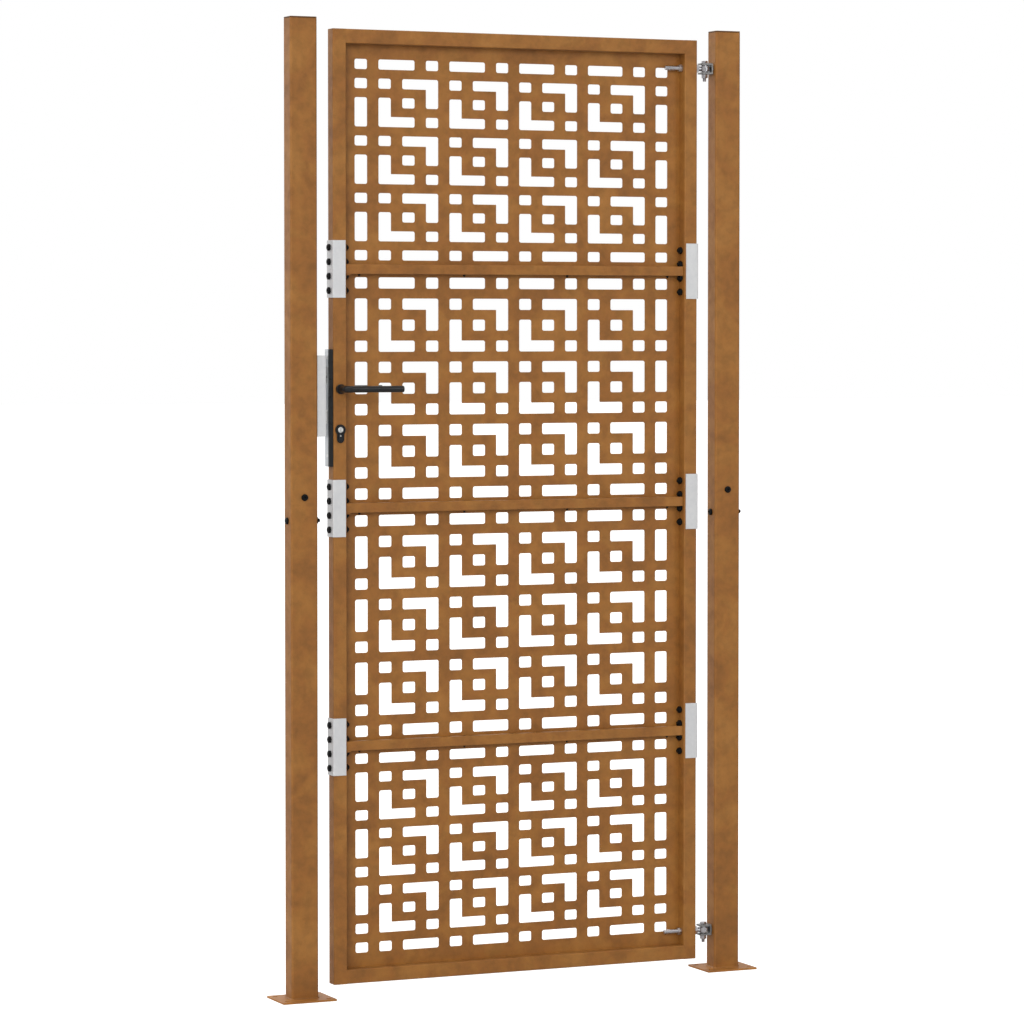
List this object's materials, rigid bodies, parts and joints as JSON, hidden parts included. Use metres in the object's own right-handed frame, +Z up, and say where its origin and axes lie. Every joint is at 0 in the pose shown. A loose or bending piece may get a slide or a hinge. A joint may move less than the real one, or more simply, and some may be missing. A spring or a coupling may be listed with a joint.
{
  "type": "garden gate",
  "caption": "Narrow garden gate: a framed leaf of four perforated weathering-steel panels, hung on eyebolt hinges between two posts on base plates, with a lever lock.",
  "frame": {"origin": "on the ground, midway between the two posts and midway through their depth", "axes": "+Z up, +X from the lock post to the hinge post, -Y towards the side that the front lever is on"},
  "size_m": [1.11, 0.1326, 2.05],
  "materials": {
    "weathering_steel": "matt rust brown with a soft cloudy variation",
    "dark_steel": "matt dark brown",
    "galvanised_steel": "satin light grey zinc",
    "zinc_plated_steel": "bright plated",
    "black_hardware": "semi-gloss black",
    "lock_steel": "satin steel"
  },
  "bodies": {
    "posts": {"bottom_hinge_clevis": "zinc_plated_steel", "bottom_hinge_pin": "zinc_plated_steel", "keeper": "galvanised_steel", "left_base_plate": "weathering_steel", "left_post_cap": "dark_steel", "left_post_front_screw": "black_hardware", "left_post_lower": "weathering_steel", "left_post_side_bolt": "black_hardware", "left_post_sleeve": "dark_steel", "left_post_upper": "weathering_steel", "right_base_plate": "weathering_steel", "right_post_cap": "dark_steel", "right_post_front_screw": "black_hardware", "right_post_lower": "weathering_steel", "right_post_side_bolt": "black_hardware", "right_post_sleeve": "dark_steel", "right_post_upper": "weathering_steel", "top_hinge_clevis": "zinc_plated_steel", "top_hinge_pin": "zinc_plated_steel"},
    "leaf": {"back_rose": "black_hardware", "bottom_hinge_eyebolt": "zinc_plated_steel", "bottom_hinge_rod_nut": "zinc_plated_steel", "bottom_rail": "weathering_steel", "crossbar_high_over": "weathering_steel", "crossbar_high_under": "weathering_steel", "crossbar_low_over": "weathering_steel", "crossbar_low_under": "weathering_steel", "crossbar_middle_over": "weathering_steel", "crossbar_middle_under": "weathering_steel", "front_rose": "black_hardware", "left_bracket_high": "galvanised_steel", "left_bracket_low": "galvanised_steel", "left_bracket_middle": "galvanised_steel", "left_stile_bottom": "weathering_steel", "left_stile_lower": "weathering_steel", "left_stile_top": "weathering_steel", "left_stile_upper": "weathering_steel", "lock_case": "black_hardware", "lock_cylinder": "lock_steel", "lock_face_plate": "lock_steel", "panel_bottom": "weathering_steel", "panel_lower": "weathering_steel", "panel_top": "weathering_steel", "panel_upper": "weathering_steel", "right_bracket_high": "galvanised_steel", "right_bracket_low": "galvanised_steel", "right_bracket_middle": "galvanised_steel", "right_stile_bottom": "weathering_steel", "right_stile_lower": "weathering_steel", "right_stile_top": "weathering_steel", "right_stile_upper": "weathering_steel", "top_hinge_eyebolt": "zinc_plated_steel", "top_hinge_rod_nut": "zinc_plated_steel", "top_rail": "weathering_steel"},
    "lever_set": {"lever_front": "black_hardware", "lever_back": "black_hardware", "lever_spindle": "zinc_plated_steel"},
    "latch_bolt": {"latch_bolt": "lock_steel"},
    "dead_bolt": {"dead_bolt": "lock_steel"},
    "cylinder_plug": {"cylinder_plug": "lock_steel"}
  },
  "joints": [
    {"name": "gate_swing", "type": "hinge", "parent": "posts", "child": "leaf", "pos_m": [0.447, 0, 0.0875], "axis": [0, 0, -1], "range_deg": [0, 95]},
    {"name": "lever_turn", "type": "hinge", "parent": "leaf", "child": "lever_set", "pos_m": [-0.413, 0, 1.277], "axis": [0, 1, 0], "range_deg": [0, 40], "stiffness_Nm_per_rad": 1.2, "springref_deg": -22.92},
    {"name": "latch_slide", "type": "slide", "parent": "leaf", "child": "latch_bolt", "axis": [1, 0, 0], "range_m": [0, 0.0117]},
    {"name": "plug_turn", "type": "hinge", "parent": "leaf", "child": "cylinder_plug", "pos_m": [-0.413, 0, 1.1917], "axis": [0, 1, 0], "range_deg": [0, 360.5]},
    {"name": "bolt_throw", "type": "slide", "parent": "leaf", "child": "dead_bolt", "axis": [-1, 0, 0], "range_m": [0, 0.016]}
  ],
  "couplings": [
    {"joint": "latch_slide", "follows": "lever_turn", "m_per_rad": 0.016473},
    {"joint": "plug_turn", "follows": "bolt_throw", "rad_per_m": 392.7}
  ]
}
